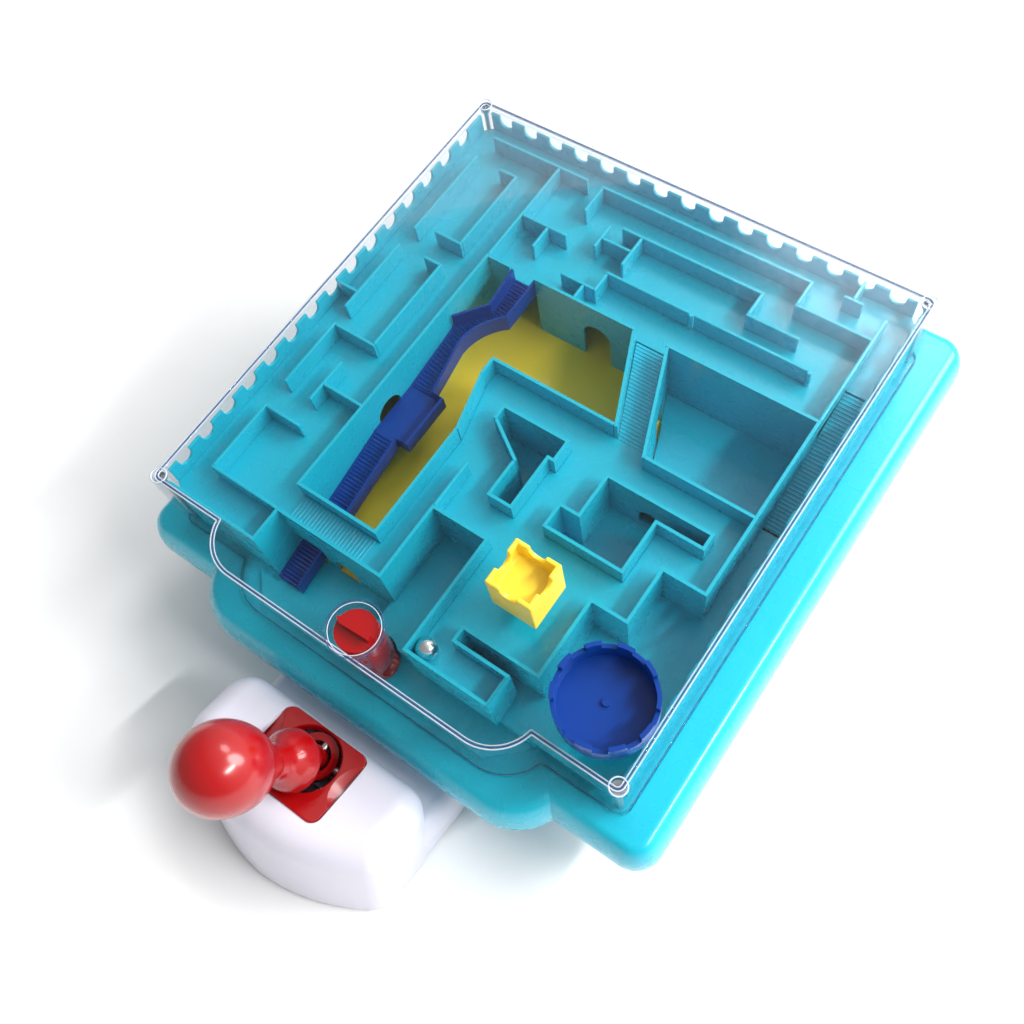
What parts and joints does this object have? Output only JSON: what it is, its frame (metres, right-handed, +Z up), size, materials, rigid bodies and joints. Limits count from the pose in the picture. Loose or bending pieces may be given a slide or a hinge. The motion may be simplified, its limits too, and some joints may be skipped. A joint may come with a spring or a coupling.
{
  "type": "tilt maze game",
  "caption": "Joystick ball maze: a walled teal board under a deep clear lid, tipped on a gimbal by a red stick in a white base.",
  "frame": {"origin": "table level under the board's pivot, in the middle of the foot that stands there", "axes": "+X to the player's right, +Y away from the player, +Z up; the board is tipped towards the player"},
  "size_m": [0.239, 0.3156, 0.1509],
  "materials": {
    "teal_plastic": "glossy moulded",
    "clear_plastic": "clear moulded styrene",
    "yellow_plastic": "satin moulded",
    "blue_plastic": "satin moulded",
    "red_plastic": "glossy moulded",
    "white_plastic": "satin moulded",
    "grey_plastic": "fine matte texture",
    "ball_steel": "polished",
    "screw_steel": "zinc plated",
    "foot_rubber": "matte"
  },
  "bodies": {
    "base": {"base_top": "white_plastic", "base_bottom": "white_plastic", "base_feet": "foot_rubber", "base_posts": "white_plastic", "base_screws": "screw_steel", "stick_panel": "red_plastic", "panel_screws": "screw_steel", "stick_yoke": "red_plastic", "slide_rails": "grey_plastic", "pivot_tower": "white_plastic", "tower_screws": "screw_steel"},
    "ring": {"board_ring": "grey_plastic", "board_pitch_pins": "screw_steel", "board_roll_pins": "screw_steel"},
    "board": {"clear_lid": "clear_plastic", "lid_screws": "screw_steel", "maze_deck": "teal_plastic", "deck_walls": "teal_plastic", "pit_walls": "teal_plastic", "battlement": "teal_plastic", "front_bridge": "teal_plastic", "middle_bridge": "teal_plastic", "side_ramp": "teal_plastic", "lower_floor": "teal_plastic", "tray_floor": "yellow_plastic", "pit_floor": "teal_plastic", "front_floor": "teal_plastic", "twist_track": "blue_plastic", "square_turret": "yellow_plastic", "round_tower": "blue_plastic", "lower_shell": "teal_plastic", "shell_screws": "screw_steel", "drum_spindle": "screw_steel", "drum_washer": "screw_steel", "pivot_bracket": "grey_plastic", "bracket_screws": "screw_steel", "board_tail": "grey_plastic"},
    "drum": {"loading_drum": "red_plastic"},
    "ball": {"steel_ball": "ball_steel"},
    "stick_gimbal": {"stick_ring": "red_plastic", "stick_pitch_pins": "screw_steel", "stick_roll_pin": "screw_steel"},
    "stick": {"stick_shaft": "red_plastic", "stick_collar": "red_plastic", "stick_knob": "red_plastic"},
    "carriage": {"slide_carriage": "white_plastic"},
    "link": {"control_plate": "white_plastic"}
  },
  "joints": [
    {"name": "board_pitch", "type": "hinge", "parent": "base", "child": "ring", "pos_m": [0, 0, 0.058], "axis": [1, 0, 0], "range_deg": [-32, 0]},
    {"name": "board_roll", "type": "hinge", "parent": "ring", "child": "board", "pos_m": [0, 0, 0.058], "axis": [0, 0.9613, 0.2756], "range_deg": [-10, 10]},
    {"name": "drum_turn", "type": "hinge", "parent": "board", "child": "drum", "pos_m": [0, -0.12326, 0.09132], "axis": [0, -0.2756, 0.9613], "range_deg": [0, 180]},
    {"name": "ball_roll", "type": "slide", "parent": "board", "child": "ball", "axis": [1, 0, 0], "range_m": [0, 0.024]},
    {"name": "stick_pitch", "type": "hinge", "parent": "base", "child": "stick_gimbal", "pos_m": [0, -0.15, 0.0385], "axis": [1, 0, 0], "range_deg": [-32, 0]},
    {"name": "stick_roll", "type": "hinge", "parent": "stick_gimbal", "child": "stick", "pos_m": [0, -0.15, 0.0385], "axis": [0, 0.9613, 0.2756], "range_deg": [-10, 10]},
    {"name": "carriage_slide", "type": "slide", "parent": "base", "child": "carriage", "axis": [0, 1, 0], "range_m": [-0.0122, 0]},
    {"name": "plate_slide", "type": "slide", "parent": "carriage", "child": "link", "axis": [1, 0, 0], "range_m": [-0.0039, 0.0039]}
  ],
  "couplings": [
    {"joint": "stick_pitch", "follows": "board_pitch", "ratio": 1},
    {"joint": "stick_roll", "follows": "board_roll", "ratio": 1},
    {"joint": "carriage_slide", "follows": "board_pitch", "m_per_rad": 0.0217},
    {"joint": "plate_slide", "follows": "board_roll", "m_per_rad": -0.0218}
  ]
}
